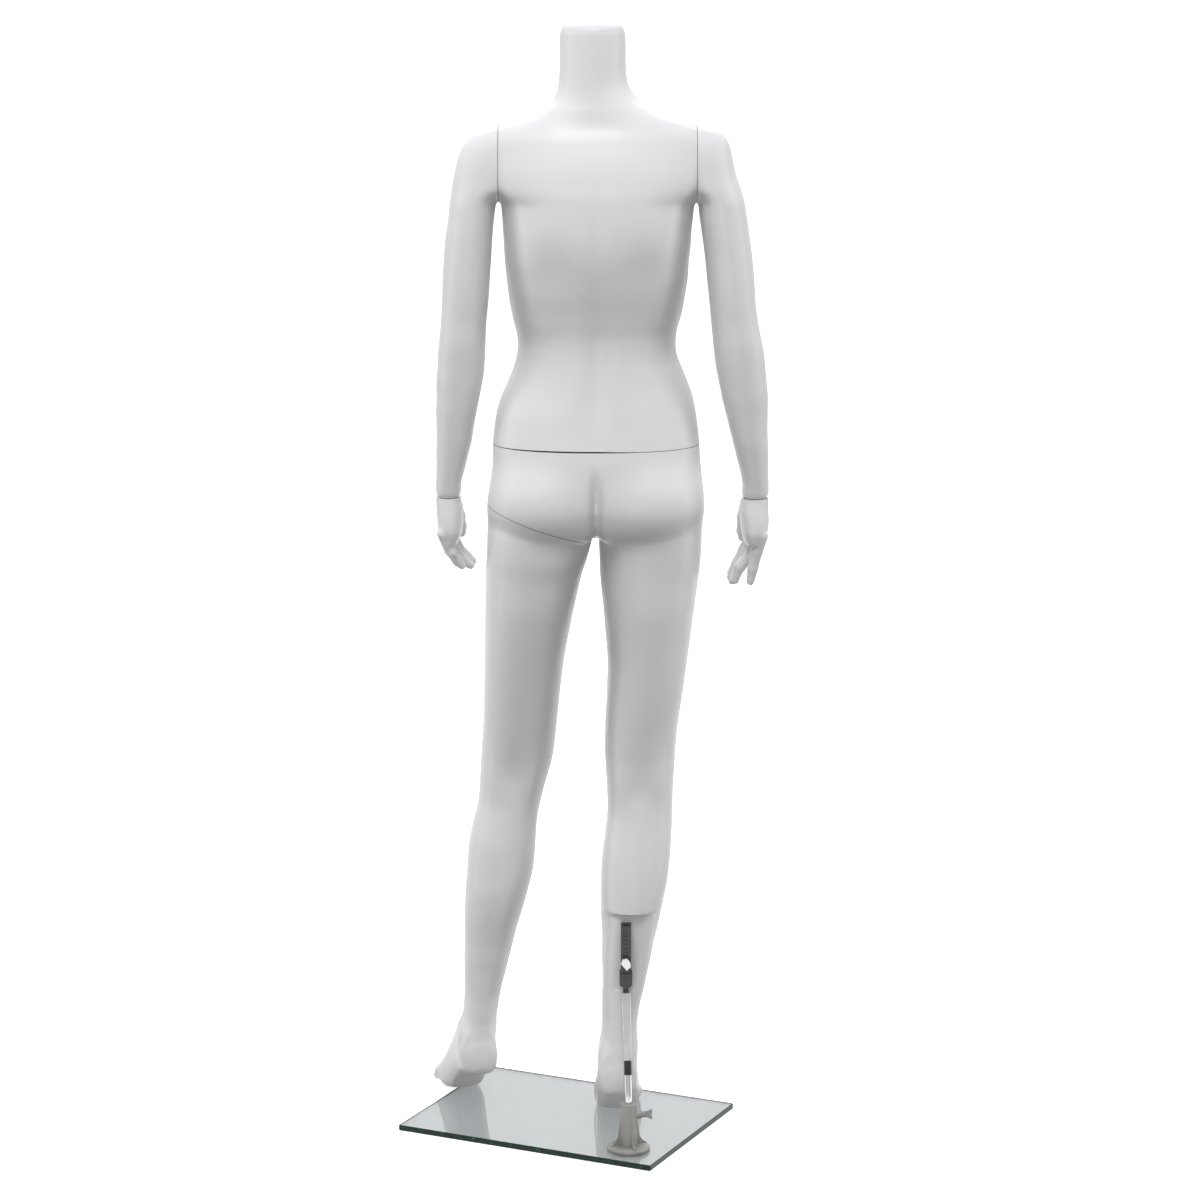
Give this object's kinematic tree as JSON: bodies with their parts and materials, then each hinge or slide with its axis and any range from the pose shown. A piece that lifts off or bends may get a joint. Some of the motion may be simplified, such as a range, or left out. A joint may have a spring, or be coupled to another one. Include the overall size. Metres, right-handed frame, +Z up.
{
  "type": "full body mannequin",
  "caption": "Headless female display mannequin with separate torso, arms, hands, hips and leg, held by a calf rod on a rectangular glass base plate.",
  "frame": {"origin": "centre of the glass plate's underside", "axes": "+Z up; the figure faces -Y and its left side is +X; the plate is turned about Z against the body"},
  "size_m": [0.504, 0.4144, 1.5012],
  "materials": {
    "body_white": "semi-gloss moulded shell",
    "cap_white": "semi-gloss",
    "hand_white": "semi-gloss",
    "fitting_black": "moulded",
    "fitting_steel": "zinc plated",
    "clear_glass": "polished, green edge",
    "nylon": "moulded",
    "gasket_rubber": "matte",
    "cast_grey": "warm grey paint",
    "screw_grey": "satin",
    "screw_light": "cast",
    "rod_chrome": "polished",
    "collar_black": "matte",
    "bracket_dark": "charcoal"
  },
  "bodies": {
    "base": {"glass_base": "clear_glass", "base_sleeve": "nylon", "base_bolt": "fitting_steel", "socket_gasket": "gasket_rubber", "base_socket": "cast_grey"},
    "wing_screw": {"base_wing_screw": "screw_grey"},
    "support": {"support_post": "rod_chrome", "post_collar": "collar_black", "support_rod": "rod_chrome", "rod_tongue": "bracket_dark"},
    "lower_body": {"lower_body_shell": "body_white", "left_leg_shell": "body_white", "left_hip_socket": "fitting_black", "left_hip_stud": "fitting_steel", "waist_socket": "fitting_black", "calf_bracket": "bracket_dark", "bracket_guide": "bracket_dark", "calf_backing_plate": "fitting_steel", "bracket_screws": "fitting_steel"},
    "thumb_screw": {"calf_thumb_screw": "screw_light"},
    "torso": {"torso_shell": "body_white", "neck_cap": "cap_white", "waist_peg": "fitting_steel", "left_shoulder_socket": "fitting_black", "right_shoulder_socket": "fitting_black"},
    "left_arm": {"left_arm_shell": "body_white", "left_shoulder_stud": "fitting_steel", "left_wrist_bush": "fitting_black"},
    "right_arm": {"right_arm_shell": "body_white", "right_shoulder_stud": "fitting_steel", "right_wrist_bush": "fitting_black"},
    "left_hand_body": {"left_hand": "hand_white", "left_wrist_pin": "fitting_steel"},
    "right_hand_body": {"right_hand": "hand_white", "right_wrist_pin": "fitting_steel"}
  },
  "joints": [
    {"name": "base_wing_screw_turn", "type": "hinge", "parent": "base", "child": "wing_screw", "pos_m": [-0.0834, 0.145, 0.058], "axis": [1, 0, 0], "continuous": true},
    {"name": "base_swivel", "type": "hinge", "parent": "base", "child": "support", "pos_m": [-0.0834, 0.145, 0.038], "axis": [0, 0, 1], "range_deg": [-25, 25]},
    {"name": "calf_slide", "type": "slide", "parent": "support", "child": "lower_body", "axis": [0, 0, 1], "range_m": [0, 0.04]},
    {"name": "calf_thumb_screw_turn", "type": "hinge", "parent": "lower_body", "child": "thumb_screw", "pos_m": [-0.08, 0.101, 0.255], "axis": [0, 1, 0], "continuous": true},
    {"name": "torso_lift", "type": "slide", "parent": "lower_body", "child": "torso", "axis": [0, 0, 1], "range_m": [0, 0.05]},
    {"name": "left_shoulder_turn", "type": "hinge", "parent": "torso", "child": "left_arm", "pos_m": [0.088, 0.002, 1.314], "axis": [1, 0, 0], "continuous": true},
    {"name": "right_shoulder_turn", "type": "hinge", "parent": "torso", "child": "right_arm", "pos_m": [-0.172, 0.002, 1.314], "axis": [1, 0, 0], "continuous": true},
    {"name": "left_wrist_turn", "type": "hinge", "parent": "left_arm", "child": "left_hand_body", "pos_m": [0.159, -0.03, 0.869], "axis": [0, 0, 1], "range_deg": [-25, 25]},
    {"name": "right_wrist_turn", "type": "hinge", "parent": "right_arm", "child": "right_hand_body", "pos_m": [-0.2535, -0.021, 0.869], "axis": [0, 0, 1], "range_deg": [-25, 25]}
  ]
}
